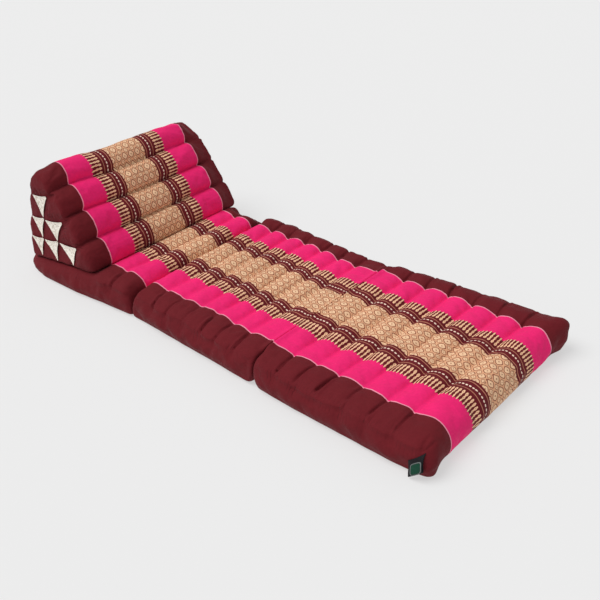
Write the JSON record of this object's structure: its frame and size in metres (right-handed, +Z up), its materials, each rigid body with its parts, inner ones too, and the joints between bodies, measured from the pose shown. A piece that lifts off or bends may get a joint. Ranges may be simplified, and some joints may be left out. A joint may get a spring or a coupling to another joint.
{
  "type": "thai triangle cushion with fold-out mat",
  "caption": "Thai triangle cushion: a quilted mat in sections sewn end to end, unfolded flat, with a wedge headrest of stuffed tubes on the back section.",
  "frame": {"origin": "centre of the overall footprint, on the surface it lies on", "axes": "+X along the mat from the headrest to the foot, +Y towards the far long side, +Z up"},
  "size_m": [1.3596, 0.6126, 0.3051],
  "materials": {
    "cover_cloth": "matt woven cotton, maroon with pink, sand and cream woven bands",
    "facing_cloth": "matt cream cotton",
    "tab_ribbon": "woven ribbon, black with a green patch"
  },
  "bodies": {
    "root": {"mat_section_back": "cover_cloth", "mat_section_middle": "cover_cloth", "mat_section_foot": "cover_cloth", "wedge_headrest": "cover_cloth", "facing_near_1": "facing_cloth", "facing_near_2": "facing_cloth", "facing_near_3": "facing_cloth", "facing_near_4": "facing_cloth", "facing_near_5": "facing_cloth", "facing_near_6": "facing_cloth", "facing_far_1": "facing_cloth", "facing_far_2": "facing_cloth", "facing_far_3": "facing_cloth", "facing_far_4": "facing_cloth", "facing_far_5": "facing_cloth", "facing_far_6": "facing_cloth", "side_tab": "tab_ribbon"}
  },
  "joints": []
}
